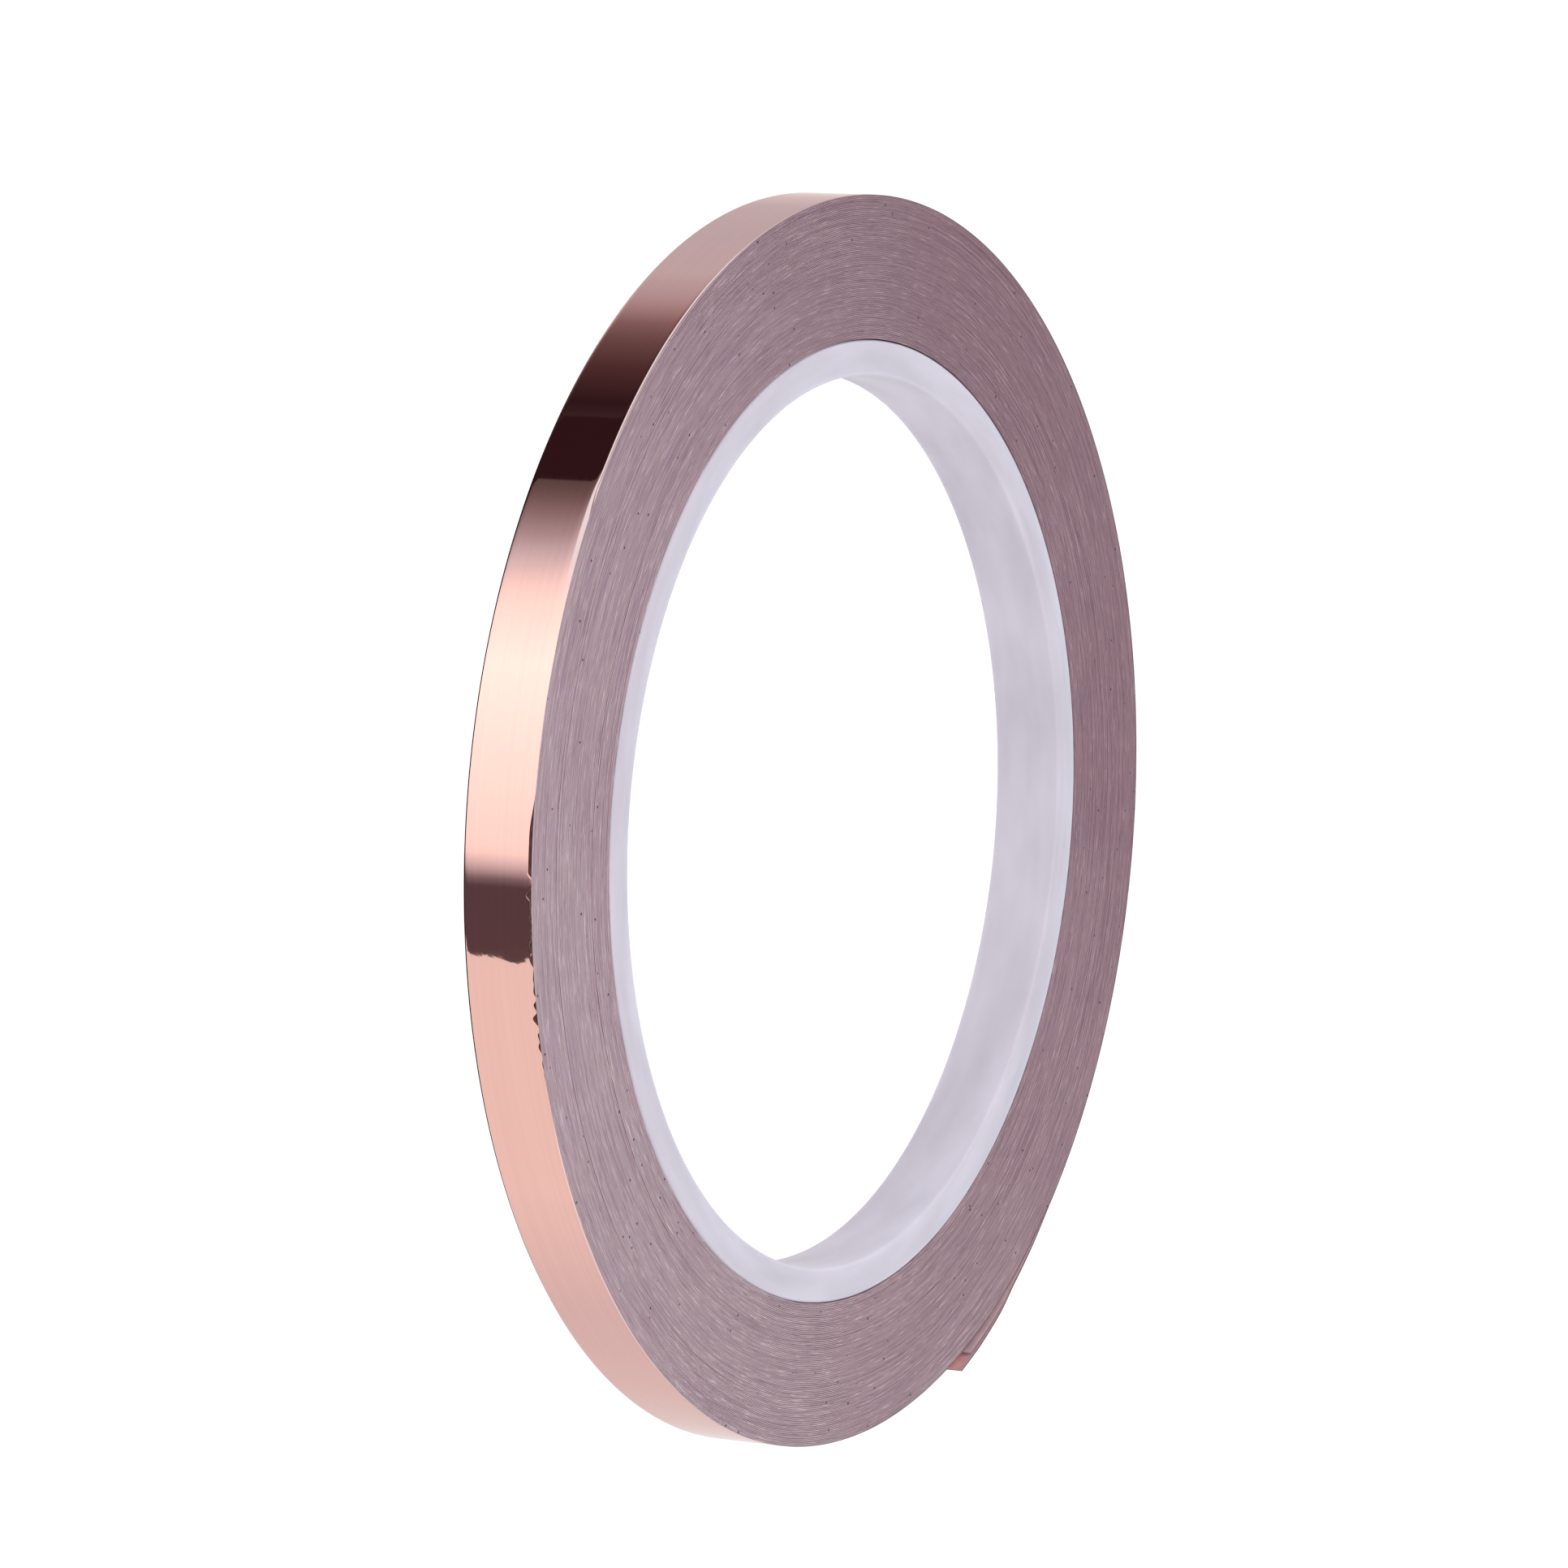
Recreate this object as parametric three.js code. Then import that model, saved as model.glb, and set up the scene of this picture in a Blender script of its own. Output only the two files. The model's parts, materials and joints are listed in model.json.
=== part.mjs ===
// A roll of adhesive-backed copper foil tape for stained glass work, in millimetres, +Z up.
// The roll stands on edge with its axis along Y and the centre of its bore at the origin.
// Angles are measured in the XZ plane from +X towards +Z. The tape is wound clockwise as seen
// from -Y, so a position along the winding is given as turns past the line where the free end
// leaves the roll.
import * as THREE from "three";

// The tape: copper foil outside, adhesive under it, release paper next to the turn below.
const TAPE_WIDTH = 6.35;
const FOIL_THICKNESS = 0.032;
const ADHESIVE_THICKNESS = 0.03;
const LINER_THICKNESS = 0.05;

// The moulded plastic core.
const CORE_BORE_DIAMETER = 76.2;
const CORE_WALL = 3;
const CORE_CHAMFER = 0.3;

// The winding. The last turn ends at the full diameter.
const ROLL_DIAMETER = 106.9;
const START_TACK_LENGTH = 15;

// The free end, lifted off the roll at the departure line.
const DEPARTURE_DEG = -47;
const TAIL_LENGTH = 21;
const TAIL_LIFT_DEG = 4;
const LINER_LIFT_DEG = 2.6;
const LINER_SETBACK = 1.6;
const ROOT_GAP = 0.15;

// Straight sides in one turn.
const SIDES = 96;

const TAPE_THICKNESS = FOIL_THICKNESS + ADHESIVE_THICKNESS + LINER_THICKNESS;
const ROLL_RADIUS = ROLL_DIAMETER / 2;
const BORE_RADIUS = CORE_BORE_DIAMETER / 2;
const CORE_RADIUS = BORE_RADIUS + CORE_WALL;
const FULL_TURN = 2 * Math.PI;
const DEPARTURE = THREE.MathUtils.degToRad(DEPARTURE_DEG);

const COPPER = { color: 0xd99a86, roughness: 0.12, metalness: 1 };
const ADHESIVE = { color: 0xb9a58f, roughness: 0.5, metalness: 0 };
const RELEASE_PAPER = { color: 0xd9cfd0, roughness: 0.8, metalness: 0 };
const WOUND_EDGES = { color: 0x9c8489, roughness: 0.55, metalness: 0.4 };
const MILKY_PLASTIC = { color: 0xdedce8, roughness: 0.4, metalness: 0 };

// A point of the XZ plane at a radius and a number of turns past the departure line.
function pointAt(radius, turns) {
  const angle = DEPARTURE - turns * FULL_TURN;
  return new THREE.Vector2(radius * Math.cos(angle), radius * Math.sin(angle));
}

// The corners of the many-sided turn from one position to another, both ends included.
function cornersBetween(start, end) {
  const corners = [start];
  const first = Math.floor(start * SIDES) + 1;
  for (let side = first; side < end * SIDES; side += 1) corners.push(side / SIDES);
  corners.push(end);
  return corners;
}

// The outside of the roll climbs by one tape thickness in a turn, up to the departure line,
// where it has its full radius.
function rollRadius(turns) {
  return ROLL_RADIUS - TAPE_THICKNESS * (1 - turns);
}

// An arc of points that follows the roll's outside at a depth below it.
function spiralArc(depth, start, end) {
  return cornersBetween(start, end).map((turns) => pointAt(rollRadius(turns) - depth, turns));
}

// An arc of points round the core at a constant radius.
function circleArc(radius, start, end) {
  return cornersBetween(start, end).map((turns) => pointAt(radius, turns));
}

// A closed band between an outer arc and an inner arc that run the same way.
function bandBetween(outer, inner) {
  return new THREE.Shape([...outer, ...inner.reverse()]);
}

// A section in the XZ plane, made as wide as the tape and centred on y = 0.
function acrossTape(shape) {
  const geometry = new THREE.ExtrudeGeometry(shape, { depth: TAPE_WIDTH, bevelEnabled: false });
  return geometry.rotateX(Math.PI / 2).translate(0, TAPE_WIDTH / 2, 0);
}

function named(name, geometry, finish) {
  const mesh = new THREE.Mesh(geometry, new THREE.MeshStandardMaterial(finish));
  mesh.name = name;
  return mesh;
}

// The core is a plain ring, as wide as the tape, with its four edges chamfered.
function coreRing() {
  const face = TAPE_WIDTH / 2;
  const profile = [
    [BORE_RADIUS + CORE_CHAMFER, -face],
    [CORE_RADIUS - CORE_CHAMFER, -face],
    [CORE_RADIUS, -face + CORE_CHAMFER],
    [CORE_RADIUS, face - CORE_CHAMFER],
    [CORE_RADIUS - CORE_CHAMFER, face],
    [BORE_RADIUS + CORE_CHAMFER, face],
    [BORE_RADIUS, face - CORE_CHAMFER],
    [BORE_RADIUS, -face + CORE_CHAMFER],
    [BORE_RADIUS + CORE_CHAMFER, -face],
  ].map(([radius, y]) => new THREE.Vector2(radius, y));
  // A lathe counts its angle from +Z, so it starts a quarter turn off the departure line.
  const geometry = new THREE.LatheGeometry(profile, SIDES, Math.PI / 2 - DEPARTURE);
  return named("core_ring", geometry, MILKY_PLASTIC);
}

// The start of the tape has its release paper off, so bare adhesive tacks it to the core.
const TACK_TURNS = START_TACK_LENGTH / (FULL_TURN * CORE_RADIUS);
const TACK_RADIUS = CORE_RADIUS + ADHESIVE_THICKNESS;

function startTack() {
  const outer = circleArc(TACK_RADIUS, 0, TACK_TURNS);
  const inner = circleArc(CORE_RADIUS, 0, TACK_TURNS);
  return named("start_tack", acrossTape(bandBetween(outer, inner)), ADHESIVE);
}

// Every turn between the core and the last one, pressed into one solid ring. Its outside is
// the spiral one tape thickness below the roll's, and its inside leaves room for the tack.
function packedWraps() {
  const shape = new THREE.Shape(spiralArc(TAPE_THICKNESS, 0, 1));
  const onTack = circleArc(TACK_RADIUS, 0, TACK_TURNS);
  const onCore = circleArc(CORE_RADIUS, TACK_TURNS, 1);
  // A hole runs the other way round from the outline.
  shape.holes.push(new THREE.Path([...onTack, ...onCore].reverse()));
  return named("packed_wraps", acrossTape(shape), WOUND_EDGES);
}

// The three layers of the tape, each with the depth of its top below the copper's face.
const LAYERS = [
  { layer: "foil", top: 0, thickness: FOIL_THICKNESS, finish: COPPER },
  { layer: "adhesive", top: FOIL_THICKNESS, thickness: ADHESIVE_THICKNESS, finish: ADHESIVE },
  {
    layer: "liner",
    top: FOIL_THICKNESS + ADHESIVE_THICKNESS,
    thickness: LINER_THICKNESS,
    finish: RELEASE_PAPER,
  },
];

// The last turn of one layer, from its place under the free end round to the departure line.
function outerWrap({ layer, top, thickness, finish }) {
  const outer = spiralArc(top, 0, 1);
  const inner = spiralArc(top + thickness, 0, 1);
  return named(`outer_wrap_${layer}`, acrossTape(bandBetween(outer, inner)), finish);
}

// The free end of one layer goes on along the same spiral, and is then turned outwards about
// the copper's face at the departure line. The release paper is shorter and lifts less.
function tail({ layer, top, thickness, finish }) {
  const onPaper = layer === "liner";
  const length = TAIL_LENGTH - (onPaper ? LINER_SETBACK : 0);
  const start = 1 + ROOT_GAP / (FULL_TURN * ROLL_RADIUS);
  const end = 1 + length / (FULL_TURN * ROLL_RADIUS);
  const hinge = pointAt(ROLL_RADIUS, 1);
  const lift = THREE.MathUtils.degToRad(onPaper ? LINER_LIFT_DEG : TAIL_LIFT_DEG);
  const lifted = (point) => point.rotateAround(hinge, lift);
  const outer = spiralArc(top, start, end).map(lifted);
  const inner = spiralArc(top + thickness, start, end).map(lifted);
  return named(`tail_${layer}`, acrossTape(bandBetween(outer, inner)), finish);
}

const roll = new THREE.Group();
roll.name = "copper_foil_tape_roll";
roll.add(coreRing(), startTack(), packedWraps());
roll.add(...LAYERS.map(outerWrap), ...LAYERS.map(tail));

export default roll;
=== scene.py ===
import json
import math

import bmesh
import bpy
from mathutils import Matrix, Vector, noise


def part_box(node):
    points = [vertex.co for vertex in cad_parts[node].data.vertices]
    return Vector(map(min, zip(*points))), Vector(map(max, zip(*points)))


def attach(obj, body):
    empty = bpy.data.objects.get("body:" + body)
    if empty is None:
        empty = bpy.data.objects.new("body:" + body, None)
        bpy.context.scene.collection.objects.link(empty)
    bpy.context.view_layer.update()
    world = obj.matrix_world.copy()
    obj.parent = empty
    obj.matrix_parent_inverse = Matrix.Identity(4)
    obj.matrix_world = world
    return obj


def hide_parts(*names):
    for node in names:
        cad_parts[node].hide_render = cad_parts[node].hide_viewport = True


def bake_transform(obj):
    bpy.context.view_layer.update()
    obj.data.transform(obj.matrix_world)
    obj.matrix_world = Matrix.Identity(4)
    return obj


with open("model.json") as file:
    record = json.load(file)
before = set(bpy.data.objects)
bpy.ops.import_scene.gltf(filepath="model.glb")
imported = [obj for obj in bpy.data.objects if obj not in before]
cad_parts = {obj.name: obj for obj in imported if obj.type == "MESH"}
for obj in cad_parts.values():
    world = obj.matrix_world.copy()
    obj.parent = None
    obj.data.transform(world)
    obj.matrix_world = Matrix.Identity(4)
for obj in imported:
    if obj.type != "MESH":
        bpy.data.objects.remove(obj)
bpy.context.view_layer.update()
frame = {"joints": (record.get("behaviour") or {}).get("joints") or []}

MM = 0.001
FULL_TURN = 2 * math.pi

# The tape: copper foil outside, adhesive under it, release paper next to the turn below.
FOIL = 0.032 * MM
ADHESIVE = 0.03 * MM
LINER = 0.05 * MM
TAPE = FOIL + ADHESIVE + LINER
HALF_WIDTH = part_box("packed_wraps")[1].y

# The free end leaves the roll at the hinge of its joint, which lies on the copper's face.
PEEL = next(joint for joint in frame["joints"] if joint["name"] == "foil_peel")
HINGE = Vector(PEEL["pos_m"])
ROLL_RADIUS = HINGE.length
DEPARTURE = math.atan2(HINGE.z, HINGE.x)

# The core ring.
BORE_RADIUS = 38.1 * MM
CORE_RADIUS = 41.1 * MM
CORE_EDGE = 0.3 * MM

# The winding: 108 turns between the core and the last turn.
PACKED_TURNS = 108
TURN_STEPS = 144
TACK_LENGTH = 15 * MM

# The last turn has finer steps, for the tears in its edge.
OUTER_STEPS = 2160
# The curl of the slit edges: how deep it is for its reach, and at most for the tape's thickness.
CURL_DEPTH = 0.26
CURL_LIMIT = 0.9 * TAPE
# A thumb dent in the copper, by its angle round the roll in degrees.
DENT_ANGLE = 184.7
DENT_SIZE = 0.8 * MM

# The free end, with its paper cut back. Its steps are closer together near the bend.
TAIL_LENGTH = 20.3 * MM
LINER_SETBACK = 2.0 * MM
TAIL_STEPS = 140
TAIL_BUNCH = 1.3

# Where the last turn was pressed down by a thumb, as a length along the tape.
CREASE_RUN = 118 * MM


# ---------------------------------------------------------------- colours and nodes

def srgb(code):
    """The linear colour of an sRGB hex value."""
    parts = [int(code[i : i + 2], 16) / 255 for i in (1, 3, 5)]
    linear = [p / 12.92 if p <= 0.04045 else ((p + 0.055) / 1.055) ** 2.4 for p in parts]
    return (*linear, 1.0)


def node(tree, kind, settings=None, **inputs):
    """Adds a node. Settings are its own options, with the stops of a ramp as (place, colour).

    Inputs are values, sockets or nodes to link from; i0, i1 and so on go by number."""
    made = tree.nodes.new(kind)
    settings = dict(settings or {})
    stops = settings.pop("stops", [])
    for key, value in settings.items():
        setattr(made, key, value)
    for number, (place, colour) in enumerate(stops):
        elements = made.color_ramp.elements
        element = elements[number] if number < 2 else elements.new(1.0)
        element.position = place
        element.color = srgb(colour) if isinstance(colour, str) else colour
    for key, value in inputs.items():
        numbered = key[0] == "i" and key[1:].isdigit()
        socket = made.inputs[int(key[1:]) if numbered else key.replace("_", " ")]
        if isinstance(value, bpy.types.Node):
            value = value.outputs[0]
        if isinstance(value, bpy.types.NodeSocket):
            tree.links.new(value, socket)
        else:
            socket.default_value = value
    return made


def material(name):
    """A new material with nothing in it, and its node tree."""
    made = bpy.data.materials.new(name)
    made.use_nodes = True
    made.node_tree.nodes.clear()
    return made, made.node_tree


def round_the_roll(tree, along, outwards, across):
    """A vector that runs round the roll: its scales are per radian, per metre out and across."""
    place = node(tree, "ShaderNodeTexCoord").outputs["Object"]
    flat = node(tree, "ShaderNodeVectorMath", {"operation": "MULTIPLY"}, i0=place, i1=(1, 0, 1))
    length = node(tree, "ShaderNodeVectorMath", {"operation": "LENGTH"}, i0=flat)
    radius = length.outputs["Value"]
    turned = node(tree, "ShaderNodeVectorMath", {"operation": "NORMALIZE"}, i0=flat)
    scaled = node(tree, "ShaderNodeVectorMath", {"operation": "SCALE"}, i0=turned, Scale=along)
    depth = node(tree, "ShaderNodeSeparateXYZ", i0=place).outputs["Y"]
    rise = node(tree, "ShaderNodeMath", {"operation": "MULTIPLY"}, i0=radius, i1=outwards)
    both = {"operation": "MULTIPLY_ADD"}
    side = node(tree, "ShaderNodeMath", both, i0=depth, i1=across, i2=rise)
    lift = node(tree, "ShaderNodeCombineXYZ", Y=side)
    return node(tree, "ShaderNodeVectorMath", {"operation": "ADD"}, i0=scaled, i1=lift)


# ---------------------------------------------------------------- materials

def rolled_copper_foil():
    """Bright cold-rolled copper foil, a near mirror with faint rolling lines along the tape."""
    made, tree = material("rolled_copper_foil")
    tape = node(tree, "ShaderNodeUVMap", {"uv_map": "tape"})
    # Rolling lines are about 0.02 mm apart, too fine to show, so they are drawn 0.3 mm apart.
    fine = (1 / (40 * MM), 1 / (0.3 * MM), 1.0)
    lines = node(tree, "ShaderNodeMapping", Vector=tape, Scale=fine)
    streaks = node(tree, "ShaderNodeTexNoise", Vector=lines, Scale=1.0, Detail=3.0)
    shade = streaks.outputs["Fac"]
    stops = [(0.3, "#eab9ae"), (0.7, "#edbdb2")]
    tone = node(tree, "ShaderNodeValToRGB", {"stops": stops}, i0=shade)
    polish = node(tree, "ShaderNodeMapRange", Value=shade, i1=0.3, i2=0.7, i3=0.03, i4=0.045)
    # Thumb creases, 0.4 mm across, where the last turn was pressed down: they fade out in 3 mm.
    along = node(tree, "ShaderNodeSeparateXYZ", i0=tape)
    away = node(tree, "ShaderNodeMath", {"operation": "SUBTRACT"}, i0=along, i1=CREASE_RUN)
    far = node(tree, "ShaderNodeMath", {"operation": "ABSOLUTE"}, i0=away)
    near = node(
        tree, "ShaderNodeMapRange", Value=far, i1=1.2 * MM, i2=3.0 * MM, i3=1.0, i4=0.0
    )
    creases = node(tree, "ShaderNodeTexNoise", Vector=tape, Scale=1 / (0.4 * MM), Detail=1.0)
    pressed = node(
        tree, "ShaderNodeMath", {"operation": "MULTIPLY"}, i0=creases.outputs["Fac"], i1=near
    )
    dents = node(tree, "ShaderNodeBump", Height=pressed, Distance=0.0012 * MM)
    grain = node(tree, "ShaderNodeBump", Height=shade, Distance=0.00009 * MM, Normal=dents)
    shader = node(
        tree,
        "ShaderNodeBsdfPrincipled",
        Base_Color=tone,
        Metallic=1.0,
        Roughness=polish,
        Normal=grain,
    )
    node(tree, "ShaderNodeOutputMaterial", Surface=shader)
    return made


def wound_tone(tree, dark, middle, light):
    """The colour of wound edges: fine arcs, painted shade darker and redder towards +X, and a few
    dark specks.
    """
    # Each turn is 0.11 mm, as fine as can be seen, and handling leaves marks 2 mm long.
    arcs = round_the_roll(tree, 24.0, 1 / (0.12 * MM), 1 / (0.5 * MM))
    streaks = node(tree, "ShaderNodeTexNoise", Vector=arcs, Scale=1.0, Detail=3.0)
    stops = [(0.3, dark), (0.42, middle), (0.58, middle), (0.7, light)]
    tone = node(tree, "ShaderNodeValToRGB", {"stops": stops}, i0=streaks.outputs["Fac"])
    # Turns differ a little in shade, so pinstripes run a long way round.
    turns = round_the_roll(tree, 5.0, 1 / (0.15 * MM), 1 / (2 * MM))
    stripes = node(tree, "ShaderNodeTexNoise", Vector=turns, Scale=1.0, Detail=1.0)
    stops = [(0.38, "#e8e0e8"), (0.5, "#f7f3f3"), (0.62, "#ffffff")]
    pinstripe = node(tree, "ShaderNodeValToRGB", {"stops": stops}, i0=stripes.outputs["Fac"])
    # Painted shade: the side towards +X and up is painted darker and redder in soft patches,
    # standing in for light that falls from the left.
    place = node(tree, "ShaderNodeTexCoord").outputs["Object"]
    dot = {"operation": "DOT_PRODUCT"}
    side = node(tree, "ShaderNodeVectorMath", dot, i0=place, i1=(0.84, 0, 0.54))
    level = side.outputs["Value"]
    patches = node(tree, "ShaderNodeTexNoise", Vector=place, Scale=1 / (16 * MM), Detail=2.0)
    share = node(
        tree, "ShaderNodeMapRange", Value=level, i1=-45 * MM, i2=40 * MM, i3=-0.25, i4=0.75
    )
    both = {"operation": "MULTIPLY_ADD", "use_clamp": True}
    side_shade_share = node(tree, "ShaderNodeMath", both, i0=patches.outputs["Fac"], i1=0.5, i2=share)
    stops = [(0.0, "#ffffff"), (1.0, "#d6c4cb")]
    painted_side_shade = node(tree, "ShaderNodeValToRGB", {"stops": stops}, i0=side_shade_share)
    specks = node(tree, "ShaderNodeTexVoronoi", Vector=place, Scale=1 / (1.6 * MM))
    stops = [(0.05, "#6f5c62"), (0.09, "#ffffff")]
    spot = node(tree, "ShaderNodeValToRGB", {"stops": stops}, i0=specks.outputs["Distance"])
    over = {"data_type": "RGBA", "blend_type": "MULTIPLY"}
    for layer in (pinstripe, painted_side_shade, spot):
        tone = node(tree, "ShaderNodeMix", over, i0=1.0, i6=tone, i7=layer).outputs[2]
    return tone


def slit_copper_edge():
    """The cut edges of wound copper foil: bare metal, dulled and reddened by the slitting knife."""
    made, tree = material("slit_copper_edge")
    tone = wound_tone(tree, "#8a5d5f", "#b08482", "#dcb7b2")
    shader = node(
        tree, "ShaderNodeBsdfPrincipled", Base_Color=tone, Metallic=0.7, Roughness=0.42
    )
    node(tree, "ShaderNodeOutputMaterial", Surface=shader)
    return made


def dusty_adhesive_edge():
    """The cut edge of acrylic adhesive between the turns: tacky, so dust has darkened it."""
    made, tree = material("dusty_adhesive_edge")
    tone = wound_tone(tree, "#5a454d", "#7f656d", "#988088")
    shader = node(tree, "ShaderNodeBsdfPrincipled", Base_Color=tone, Roughness=0.45, IOR=1.47)
    node(tree, "ShaderNodeOutputMaterial", Surface=shader)
    return made


def adhesive_painted_in_shade():
    """The adhesive of the last turn where its foil is torn back: dull, mottled and painted near
    black as the shade in that recess.
    """
    made, tree = material("acrylic_adhesive_painted_shade")
    place = node(tree, "ShaderNodeTexCoord").outputs["Object"]
    recess_shade = node(tree, "ShaderNodeTexNoise", Vector=place, Scale=1 / (0.5 * MM), Detail=2.0)
    stops = [(0.35, "#3a211f"), (0.7, "#5a3734")]
    tone = node(tree, "ShaderNodeValToRGB", {"stops": stops}, i0=recess_shade.outputs["Fac"])
    shader = node(
        tree,
        "ShaderNodeBsdfPrincipled",
        Base_Color=tone,
        Roughness=0.8,
        Specular_IOR_Level=0.15,
    )
    node(tree, "ShaderNodeOutputMaterial", Surface=shader)
    return made


def clear_adhesive():
    """Clear acrylic adhesive on the back of the foil: wet looking, with the copper behind it.

    Past the end of the paper it is clean and salmon; under the paper and at the slit edges it is
    clouded."""
    made, tree = material("clear_acrylic_adhesive")
    tape = node(tree, "ShaderNodeUVMap", {"uv_map": "tape"})
    ripples = node(tree, "ShaderNodeTexNoise", Vector=tape, Scale=1 / (0.7 * MM), Detail=2.0)
    wet = ripples.outputs["Fac"]
    stops = [(0.3, "#f0b0b1"), (0.7, "#fac4c4")]
    clean = node(tree, "ShaderNodeValToRGB", {"stops": stops}, i0=wet)
    stops = [(0.3, "#c8a9b0"), (0.7, "#d2b4ba")]
    clouded = node(tree, "ShaderNodeValToRGB", {"stops": stops}, i0=wet)
    axes = node(tree, "ShaderNodeSeparateXYZ", i0=tape)
    paper_end = TAIL_LENGTH - LINER_SETBACK
    past = node(
        tree,
        "ShaderNodeMapRange",
        Value=axes,
        i1=paper_end - 0.6 * MM,
        i2=paper_end,
        i3=0.0,
        i4=1.0,
    )
    across = node(tree, "ShaderNodeMath", {"operation": "ABSOLUTE"}, i0=axes.outputs["Y"])
    inside = node(
        tree,
        "ShaderNodeMapRange",
        Value=across,
        i1=HALF_WIDTH - 1.4 * MM,
        i2=HALF_WIDTH - 0.8 * MM,
        i3=1.0,
        i4=0.0,
    )
    bare = node(tree, "ShaderNodeMath", {"operation": "MULTIPLY"}, i0=past, i1=inside)
    tone = node(tree, "ShaderNodeMix", {"data_type": "RGBA"}, i0=bare, i6=clouded, i7=clean)
    skin = node(tree, "ShaderNodeBump", Height=wet, Distance=0.0015 * MM)
    shader = node(
        tree,
        "ShaderNodeBsdfPrincipled",
        Base_Color=tone.outputs[2],
        Metallic=0.1,
        Roughness=0.25,
        Normal=skin,
    )
    node(tree, "ShaderNodeOutputMaterial", Surface=shader)
    return made


def paper_shader(tree, tone):
    """The rest of both paper materials: dry, soft and very slightly fibrous."""
    place = node(tree, "ShaderNodeTexCoord").outputs["Object"]
    fibres = node(tree, "ShaderNodeTexNoise", Vector=place, Scale=1 / (0.4 * MM), Detail=3.0)
    skin = node(tree, "ShaderNodeBump", Height=fibres.outputs["Fac"], Distance=0.004 * MM)
    shader = node(
        tree, "ShaderNodeBsdfPrincipled", Base_Color=tone, Roughness=0.6, Normal=skin
    )
    node(tree, "ShaderNodeOutputMaterial", Surface=shader)


def wound_paper_edge():
    """The cut edges of wound glassine paper, coloured a mauve grey."""
    made, tree = material("wound_glassine_edge")
    paper_shader(tree, wound_tone(tree, "#a4929d", "#bca9b2", "#dccfd4"))
    return made


def rose_shaded_release_paper():
    """The face of glassine release paper, silicone coated: white paper painted a rose grey, as
    painted shade and painted light bounced from the copper.
    """
    made, tree = material("glassine_paper_painted_shade_and_bounce")
    place = node(tree, "ShaderNodeTexCoord").outputs["Object"]
    mottle = node(tree, "ShaderNodeTexNoise", Vector=place, Scale=1 / (1.5 * MM), Detail=2.0)
    # Painted shade and painted copper bounce: a darker rose grey in place of the paper's white.
    stops = [(0.3, "#c9adb6"), (0.7, "#d7bfc7")]
    tone = node(tree, "ShaderNodeValToRGB", {"stops": stops}, i0=mottle.outputs["Fac"])
    paper_shader(tree, tone)
    return made


def moulded_polypropylene():
    """Natural milky polypropylene, injection moulded: light sinks in, and the skin is satin."""
    made, tree = material("moulded_polypropylene")
    flow = round_the_roll(tree, 4.0, 1 / (2.2 * MM), 1 / (3 * MM))
    clouds = node(tree, "ShaderNodeTexNoise", Vector=flow, Scale=1.0, Detail=2.0)
    cloud = clouds.outputs["Fac"]
    stops = [(0.3, "#b9b3be"), (0.7, "#c6c0cc")]
    tone = node(tree, "ShaderNodeValToRGB", {"stops": stops}, i0=cloud)
    skin = node(tree, "ShaderNodeBump", Height=cloud, Distance=0.01 * MM)
    shader = node(
        tree,
        "ShaderNodeBsdfPrincipled",
        Base_Color=tone,
        Roughness=0.38,
        IOR=1.49,
        Normal=skin,
        Subsurface_Weight=0.6,
        Subsurface_Radius=(1.0, 0.92, 0.95),
        Subsurface_Scale=1.2 * MM,
    )
    node(tree, "ShaderNodeOutputMaterial", Surface=shader)
    return made


def floor_paint():
    """A pale matt studio floor."""
    made, tree = material("pale_studio_floor")
    shader = node(
        tree,
        "ShaderNodeBsdfPrincipled",
        Base_Color=srgb("#f4f4f4"),
        Roughness=0.9,
        Emission_Color=(1.0, 1.0, 1.0, 1.0),
        Emission_Strength=0.1,
    )
    node(tree, "ShaderNodeOutputMaterial", Surface=shader)
    return made


# ---------------------------------------------------------------- meshes

def put_in_order(bm):
    """Orders the corners, edges and faces by place, because operators shuffle them each run."""
    for number, vertex in enumerate(sorted(bm.verts, key=lambda v: v.co[:])):
        vertex.index = number
    bm.verts.sort()
    for parts in (bm.edges, bm.faces):
        placed = sorted(parts, key=lambda part: sorted(v.index for v in part.verts))
        for number, part in enumerate(placed):
            part.index = number
        parts.sort()


def piece(name, bm, finish, rim_finish=None):
    """Makes a finished mesh an object at the origin, smooth apart from its real edges."""
    bmesh.ops.recalc_face_normals(bm, faces=bm.faces[:])
    put_in_order(bm)
    mesh = bpy.data.meshes.new(name)
    bm.to_mesh(mesh)
    bm.free()
    mesh.shade_smooth()
    mesh.set_sharp_from_angle(angle=math.radians(40))
    mesh.materials.append(finish)
    if rim_finish:
        mesh.materials.append(rim_finish)
    made = bpy.data.objects.new(name, mesh)
    bpy.context.scene.collection.objects.link(made)
    return made


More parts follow.
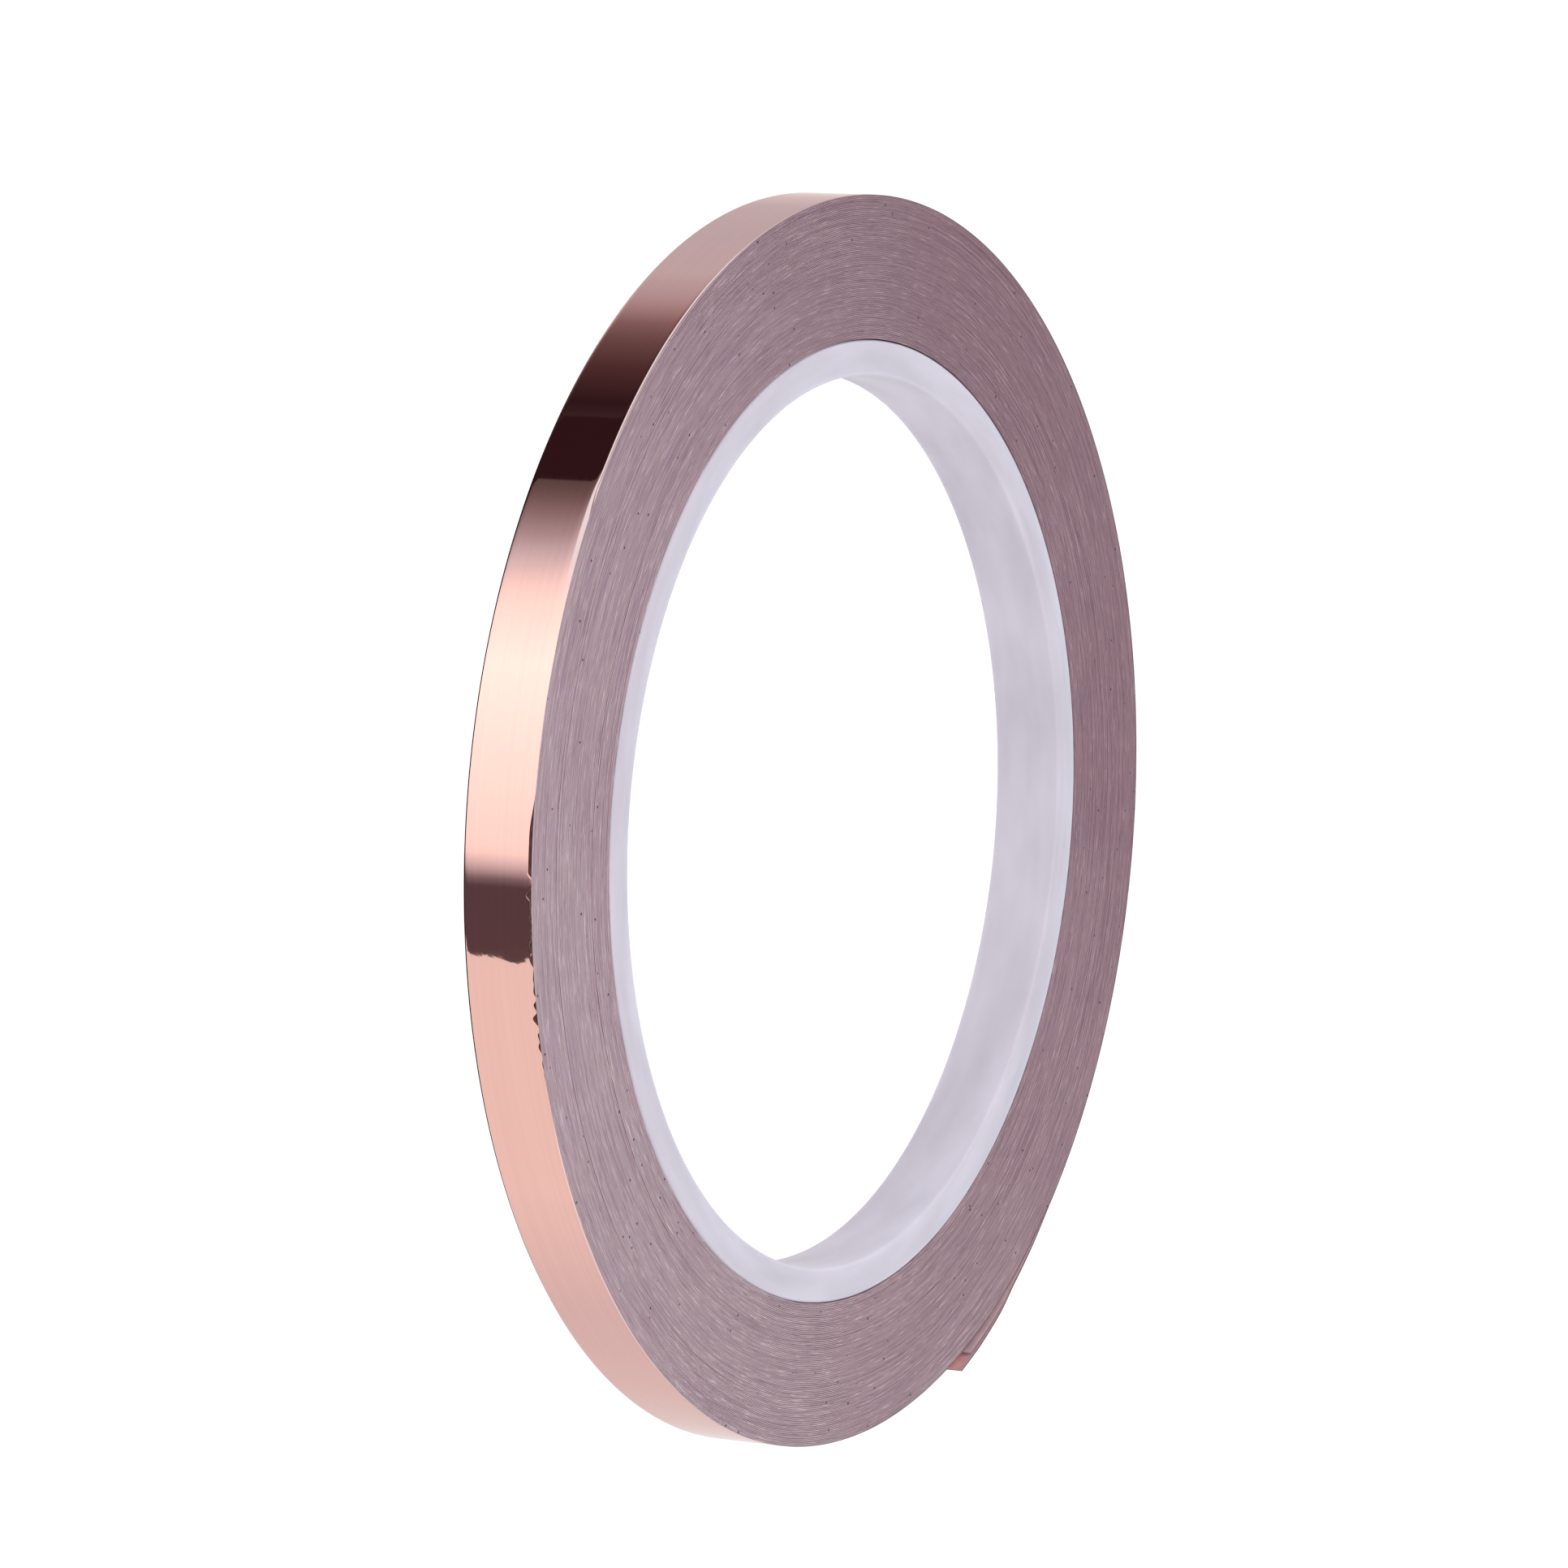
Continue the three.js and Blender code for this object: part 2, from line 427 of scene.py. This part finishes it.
def strip(steps, lanes, place, length, bunch=1.0):
    """A closed strip: a flat grid, extruded once for its thickness, then laid where place says.

    place(u, v, w) gives a point from 0 to 1 along, -1 to 1 across and 0 (top) or 1 (bottom)."""
    bm = bmesh.new()
    bmesh.ops.create_grid(bm, x_segments=steps, y_segments=lanes, size=1.0)
    made = bmesh.ops.extrude_face_region(bm, geom=bm.faces[:])
    lower = [v for v in made["geom"] if isinstance(v, bmesh.types.BMVert)]
    bmesh.ops.translate(bm, verts=lower, vec=(0, 0, 1))
    tape = bm.loops.layers.uv.new("tape")
    for face in bm.faces:
        # The cut edges and ends take the second finish.
        face.material_index = int(len({round(v.co.z) for v in face.verts}) > 1)
        for loop in face.loops:
            x, y, _ = loop.vert.co
            loop[tape].uv = (((x + 1) / 2) ** bunch * length, y * HALF_WIDTH)
    for vertex in bm.verts:
        x, y, z = vertex.co
        vertex.co = place((x + 1) / 2, y, z)
    return bm


def wound(turns, depth, across, proud=0.0):
    """A point of the winding: turns past the departure line and depth below the copper."""
    angle = DEPARTURE - turns * FULL_TURN
    radius = ROLL_RADIUS - TAPE * (1 - turns) - depth + proud
    return Vector((radius * math.cos(angle), across, radius * math.sin(angle)))


def smooth(value):
    """Eases from 0 to 1, and stays there."""
    value = min(1.0, max(0.0, value))
    return value * value * (3 - 2 * value)


# ---------------------------------------------------------------- the core

def core_ring(finish):
    """The moulded ring: a rounded rectangle spun round the roll's axis."""
    bm = bmesh.new()
    bmesh.ops.create_grid(bm, x_segments=1, y_segments=1, size=0.5)
    wall = CORE_RADIUS - BORE_RADIUS
    bmesh.ops.scale(bm, vec=(wall, 2 * HALF_WIDTH, 1), verts=bm.verts[:])
    bmesh.ops.translate(bm, vec=((CORE_RADIUS + BORE_RADIUS) / 2, 0, 0), verts=bm.verts[:])
    bmesh.ops.bevel(
        bm,
        geom=bm.verts[:],
        offset=CORE_EDGE,
        affect="VERTICES",
        segments=4,
        profile=0.5,
        material=-1,
    )
    bmesh.ops.delete(bm, geom=bm.faces[:], context="FACES_ONLY")
    bmesh.ops.spin(
        bm,
        geom=bm.verts[:] + bm.edges[:],
        cent=(0, 0, 0),
        axis=(0, 1, 0),
        angle=FULL_TURN,
        steps=360,
        use_merge=True,
    )
    made = piece("core_moulding", bm, finish)
    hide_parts("core_ring")
    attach(made, "roll")


def tack_film(finish):
    """Bare adhesive at the start of the tape, which holds the first turn to the core."""
    angle = TACK_LENGTH / CORE_RADIUS

    def place(u, v, w):
        turned = DEPARTURE - u * angle
        radius = CORE_RADIUS + ADHESIVE * (1 - w)
        across = v * (HALF_WIDTH - 0.15 * MM)
        return Vector((radius * math.cos(turned), across, radius * math.sin(turned)))

    made = piece("tack_film", strip(48, 1, place, TACK_LENGTH), finish)
    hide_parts("start_tack")
    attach(made, "roll")


# ---------------------------------------------------------------- the winding

def side_wander(turns):
    """How far a turn sits to one side: a slow wander, and now and then a turn that stands out."""
    slow = noise.noise(Vector((turns * 0.9, 3.7, 0.0)))
    quick = noise.noise(Vector((turns * 4.3, 11.2, 0.0)))
    stray = max(0.0, noise.noise(Vector((turns * 1.7, 29.5, 0.0))) - 0.25)
    return (0.02 * slow + 0.022 * quick - 0.045 * stray) * MM


def packed_strip(name, top, thickness, inset, finish):
    """One layer of every turn between the core and the last turn, as one long spiral strip."""
    steps = PACKED_TURNS * TURN_STEPS

    def place(u, v, w):
        turns = (u - 1) * PACKED_TURNS
        across = v * (HALF_WIDTH - 0.03 * MM - inset) + side_wander(turns)
        return wound(turns, top + w * thickness, across)

    length = PACKED_TURNS * FULL_TURN * (ROLL_RADIUS + CORE_RADIUS) / 2
    made = piece(name, strip(steps, 1, place, length), finish)
    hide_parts("packed_wraps")
    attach(made, "roll")


# ---------------------------------------------------------------- the last turn

LAYERS = {
    "foil": (0.0, FOIL, 0.0),
    "adhesive": (FOIL, ADHESIVE, 0.05 * MM),
    "liner": (FOIL + ADHESIVE, LINER, 0.02 * MM),
}


def degrees_round(turns):
    """The angle round the roll, in degrees from +X towards +Z."""
    return (math.degrees(DEPARTURE) - turns * 360) % 360


def foil_wave(turns, v):
    """Shallow waves in the outer copper, and one thumb dent a hundredth of a millimetre deep."""
    angle = DEPARTURE - turns * FULL_TURN
    round_it = Vector((math.cos(angle), math.sin(angle), 0.0))
    broad = noise.noise(round_it * 9.0 + Vector((0, 0, v * 0.12)))
    small = noise.noise(round_it * 26.0 + Vector((0, 5.0, v * 0.5)))
    along = math.radians(degrees_round(turns) - DENT_ANGLE) * ROLL_RADIUS
    across = (v + 0.5) * HALF_WIDTH
    dent = math.exp(-(along * along + across * across) / DENT_SIZE**2)
    return (0.006 * broad + 0.0016 * small - 0.013 * dent) * MM


def rolled_edge(turns, v):
    """The slit edges of the tape turn down: most where the left of the roll was handled, and
    hardly at all where the front edge is torn."""
    inward = (1 - abs(v)) * HALF_WIDTH
    angle = degrees_round(turns)
    rubbed = smooth((angle - 108) / 10) * smooth((172 - angle) / 6)
    handled = smooth((angle - 140.5) / 8) * smooth((164 - angle) / 8)
    torn = smooth((angle - 170) / 2) * smooth((203 - angle) / 4)
    near = (0.09 - 0.07 * torn + 0.1 * rubbed + 0.68 * handled) * MM
    reach = near if v < 0 else 0.15 * MM
    fall = max(0.0, 1 - inward / reach)
    return -min(CURL_DEPTH * reach, CURL_LIMIT) * fall * fall


def ragged_edge(turns, v):
    """How far the front edge of the foil is torn back, low on the left of the roll."""
    if v > 0:
        return 0.0
    angle = degrees_round(turns)
    wedge = 0.34 * smooth((angle - 170.5) / 4) * smooth((178.2 - angle) / 0.5)
    window = smooth((angle - 178) / 1.0) * smooth((198 - angle) / 8.0)
    tears = 0.62 * window * max(0.0, noise.noise(Vector((angle * 1.1, 3.1, 0.0))) + 0.24)
    inward = (1 + v) * HALF_WIDTH
    return (wedge + tears) * MM * smooth(1 - inward / (0.8 * MM))


def edge_bunched(v):
    """Moves evenly spaced lanes towards the two edges, where the foil curls."""
    return math.copysign(1 - (1 - abs(v)) ** 1.9, v)


def outer_strip(layer, finish, rim_finish):
    """One layer of the last turn, from under the free end round to the departure line."""
    top, thickness, inset = LAYERS[layer]
    lanes = 16 if layer == "foil" else 8
    steps = OUTER_STEPS if layer == "foil" else OUTER_STEPS // 3

    def place(u, v, w):
        spread = edge_bunched(v)
        across = spread * (HALF_WIDTH - inset)
        proud = rolled_edge(u, spread)
        if layer == "foil":
            proud += foil_wave(u, spread)
            across += ragged_edge(u, spread)
        return wound(u, top + w * thickness, across, proud)

    length = FULL_TURN * ROLL_RADIUS
    bm = strip(steps, lanes, place, length)
    made = piece(f"last_turn_{layer}", bm, finish, rim_finish)
    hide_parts(f"outer_wrap_{layer}")
    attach(made, "roll")


# ---------------------------------------------------------------- the free end

def foil_lift(run):
    """How far the copper stands off the roll, a length along the free end: it rises slowly,
    takes a soft kink and flattens towards the cut."""
    kink = 0.28 * smooth((run / MM - 8.5) / 4.0)
    flat = 0.1 * smooth((run / MM - 16.0) / 4.6)
    return (0.0635 * run / MM + kink - flat) * MM


def liner_lift(run):
    """The release paper lags behind the copper."""
    return (0.0425 * run / MM + 0.16 * smooth((run / MM - 8.5) / 4.0)) * MM


def tail_strip(layer, finish, rim_finish):
    """One layer of the free end, lifting off the roll from the departure line."""
    top, thickness, inset = LAYERS[layer]
    lanes = 24 if layer == "foil" else 8
    length = TAIL_LENGTH - (LINER_SETBACK if layer == "liner" else 0.0)
    lift = liner_lift if layer == "liner" else foil_lift

    def place(u, v, w):
        run = u ** TAIL_BUNCH * length
        spread = edge_bunched(v)
        turns = 1 + run / (FULL_TURN * ROLL_RADIUS)
        across = spread * (HALF_WIDTH - inset)
        fade = 1 - smooth(run / (4 * MM))
        proud = lift(run) - TAPE * (turns - 1) + rolled_edge(1.0, spread)
        if layer == "foil":
            proud += foil_wave(1.0, spread) * fade
        return wound(turns, top + w * thickness, across, proud)

    bm = strip(TAIL_STEPS, lanes, place, length, TAIL_BUNCH)
    made = piece(f"free_end_{layer}", bm, finish, rim_finish)
    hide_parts(f"tail_{layer}")
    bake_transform(made)


# ---------------------------------------------------------------- studio

def studio_floor():
    """A floor far larger than the roll, well below it, that the copper doesn't mirror."""
    bm = bmesh.new()
    bmesh.ops.create_grid(bm, x_segments=1, y_segments=1, size=12.0)
    bmesh.ops.translate(bm, vec=(0, 0, -0.11), verts=bm.verts[:])
    mesh = bpy.data.meshes.new("studio_floor")
    bm.to_mesh(mesh)
    bm.free()
    mesh.materials.append(floor_paint())
    made = bpy.data.objects.new("studio_floor", mesh)
    bpy.context.scene.collection.objects.link(made)
    made.visible_glossy = False


# What the polished copper mirrors, by the angle round the roll's axis in degrees from +X towards
# +Z: a pale ceiling to the right, a dark flag overhead, a bright softbox to the left, a dark
# strip below it and the white floor.
TENT = [
    (0, "#f6f0ee", 1.0),
    (12, "#eee4e4", 0.86),
    (24, "#e9e4ec", 0.76),
    (40, "#e0e6f2", 0.8),
    (58, "#e0e8f4", 0.84),
    (67, "#c2beca", 1.0),
    (71, "#ada4aa", 1.0),
    (75, "#8c7981", 1.0),
    (79, "#736265", 1.0),
    (87, "#523c41", 1.0),
    (96, "#321f26", 1.0),
    (107, "#5a5256", 1.0),
    (113, "#61595d", 1.0),
    (116, "#776e72", 1.0),
    (120, "#9a939c", 1.0),
    (124, "#bcbcca", 1.0),
    (128, "#e3ebf8", 1.0),
    (136, "#ffffff", 1.4),
    (148, "#ffffff", 1.75),
    (165, "#ffffff", 1.5),
    (181, "#ffffff", 1.3),
    (183.6, "#e0dfec", 1.0),
    (186.2, "#5d5056", 1.0),
    (203, "#60525a", 1.0),
    (208, "#ffffff", 1.0),
    (245, "#ffffff", 1.0),
    (275, "#f0f2f8", 0.92),
    (320, "#f4f2f4", 0.92),
    (360, "#f6f0ee", 1.0),
]

# A ramp holds too few colours for a sharp edge, so the flag's lower edge and the strip's are cut
# by these two spans, from an angle to an angle.
CUTS = [
    (99, 112.7, "#321f26"),
    (199.7, 215, "#ffffff"),
]

# The strip lights are a cool white.
STRIP_LIGHT = "#bed5e2"

# The cloth's colours are divided by its strength, which lets a wall be brighter than white.
TENT_STRENGTH = 2.0


def tent_cloth():
    """The tent's glow: bright and dark walls by angle, and a strip light before the dark ones."""
    made, tree = material("tent_cloth")
    place = node(tree, "ShaderNodeTexCoord").outputs["Object"]
    axes = node(tree, "ShaderNodeSeparateXYZ", i0=place)
    arctan = {"operation": "ARCTAN2"}
    angle = node(tree, "ShaderNodeMath", arctan, i0=axes.outputs["Z"], i1=axes.outputs["X"])
    share = node(tree, "ShaderNodeMath", {"operation": "DIVIDE"}, i0=angle, i1=FULL_TURN)
    turned = node(tree, "ShaderNodeMath", {"operation": "WRAP"}, i0=share, i1=1.0, i2=0.0)
    walls = []
    for degrees, code, level in TENT:
        red, green, blue, _ = srgb(code)
        glow = level / TENT_STRENGTH
        walls.append((degrees / 360, (red * glow, green * glow, blue * glow, 1)))
    colour = node(tree, "ShaderNodeValToRGB", {"stops": walls}, i0=turned).outputs[0]
    within = {"operation": "COMPARE"}
    for start, end, code in CUTS:
        middle = (start + end) / 720
        reach = (end - start) / 720
        inside = node(tree, "ShaderNodeMath", within, i0=turned, i1=middle, i2=reach)
        red, green, blue, _ = srgb(code)
        shade = (red / TENT_STRENGTH, green / TENT_STRENGTH, blue / TENT_STRENGTH, 1)
        mixed = node(
            tree, "ShaderNodeMix", {"data_type": "RGBA"}, i0=inside, i6=colour, i7=shade
        )
        colour = mixed.outputs[2]
    # The far ends of the drum are unlit.
    length = axes.outputs["Y"]
    ends = node(tree, "ShaderNodeMapRange", Value=length, i1=-2.5, i2=2.5, i3=0.0, i4=1.0)
    stops = [
        (0.0, "#000000"),
        (0.28, "#000000"),
        (0.29, "#ffffff"),
        (0.71, "#ffffff"),
        (0.72, "#0c0406"),
    ]
    lit = node(tree, "ShaderNodeValToRGB", {"stops": stops}, i0=ends)
    # Two strip lights, either side of the middle, give the foil's turned edge its bright line.
    stops = [
        (0.0, "#000000"),
        (0.38, "#000000"),
        (0.39, STRIP_LIGHT),
        (0.488, STRIP_LIGHT),
        (0.492, "#000000"),
        (0.508, "#000000"),
        (0.512, STRIP_LIGHT),
        (0.56, STRIP_LIGHT),
        (0.58, "#000000"),
    ]
    strips = node(tree, "ShaderNodeValToRGB", {"stops": stops}, i0=ends)
    over = {"data_type": "RGBA", "blend_type": "MULTIPLY"}
    cut = node(tree, "ShaderNodeMix", over, i0=1.0, i6=colour, i7=lit)
    most = {"data_type": "RGBA", "blend_type": "LIGHTEN"}
    seen = node(tree, "ShaderNodeMix", most, i0=1.0, i6=cut.outputs[2], i7=strips)
    lamp = node(tree, "ShaderNodeEmission", Color=seen.outputs[2], Strength=TENT_STRENGTH)
    node(tree, "ShaderNodeOutputMaterial", Surface=lamp)
    return made


def light_tent():
    """A drum round the roll that only reflections see, with bright and dark walls."""
    bm = bmesh.new()
    bmesh.ops.create_cone(
        bm, segments=180, radius1=1.0, radius2=1.0, depth=5.0, cap_ends=False
    )
    bmesh.ops.rotate(bm, matrix=Matrix.Rotation(math.pi / 2, 3, "X"), verts=bm.verts[:])
    mesh = bpy.data.meshes.new("light_tent")
    bm.to_mesh(mesh)
    bm.free()
    mesh.materials.append(tent_cloth())
    tent = bpy.data.objects.new("light_tent", mesh)
    bpy.context.scene.collection.objects.link(tent)
    tent.visible_camera = False
    tent.visible_diffuse = False
    tent.visible_transmission = False
    tent.visible_shadow = False


def studio_light():
    """An even white world, and one small soft lamp high on the left front."""
    world = bpy.data.worlds.new("soft_white_studio")
    world.use_nodes = True
    sky = world.node_tree.nodes["Background"]
    sky.inputs["Color"].default_value = (1.0, 1.0, 1.0, 1.0)
    sky.inputs["Strength"].default_value = 1.08
    bpy.context.scene.world = world
    bpy.context.scene.view_settings.view_transform = "Standard"
    lamp = bpy.data.lights.new("key_softbox", "AREA")
    lamp.shape = "DISK"
    lamp.size = 0.25
    lamp.energy = 0.35
    key = bpy.data.objects.new("key_softbox", lamp)
    key.location = (-0.26, -0.3, 0.2)
    key.rotation_euler = (-key.location).to_track_quat("-Z", "Y").to_euler()
    key.visible_glossy = False
    key.visible_camera = False
    bpy.context.scene.collection.objects.link(key)


def camera():
    """Looks at the roll from low on its left front, a little from above."""
    azimuth = math.radians(-60.77)
    elevation = math.radians(7.37)
    back = Vector(
        (
            math.sin(azimuth) * math.cos(elevation),
            -math.cos(azimuth) * math.cos(elevation),
            math.sin(elevation),
        )
    )
    right = Vector((math.cos(azimuth), math.sin(azimuth), 0))
    up = back.cross(right)
    lens = bpy.data.cameras.new("camera")
    lens.lens = 183.7
    lens.sensor_width = 36
    lens.clip_end = 40
    made = bpy.data.objects.new("camera", lens)
    turned = Matrix((right, up, back)).transposed().to_4x4()
    aside = -3.23 * MM
    raised = 3.07 * MM
    distance = 683.6 * MM
    turned.translation = right * aside + up * raised + back * distance
    made.matrix_world = turned
    bpy.context.scene.collection.objects.link(made)
    bpy.context.scene.camera = made


# ---------------------------------------------------------------- assembly

copper = rolled_copper_foil()
copper_edge = slit_copper_edge()
adhesive_edge = dusty_adhesive_edge()
adhesive = clear_adhesive()
recess_shade = adhesive_painted_in_shade()
rose_shaded_paper = rose_shaded_release_paper()
paper_edge = wound_paper_edge()

core_ring(moulded_polypropylene())
tack_film(adhesive)
packed_strip("packed_foil", 0.0, FOIL, 0.01 * MM, copper_edge)
packed_strip("packed_adhesive", FOIL, ADHESIVE, 0.06 * MM, adhesive_edge)
packed_strip("packed_liner", FOIL + ADHESIVE, LINER, 0.0, paper_edge)

outer_strip("foil", copper, copper_edge)
# The last turn's adhesive shows only where the foil is torn back; it is painted near black as the
# shade of that recess.
outer_strip("adhesive", recess_shade, adhesive_edge)
outer_strip("liner", paper_edge, paper_edge)
tail_strip("foil", copper, copper_edge)
tail_strip("adhesive", adhesive, adhesive_edge)
tail_strip("liner", rose_shaded_paper, paper_edge)

studio_floor()
light_tent()
studio_light()
camera()
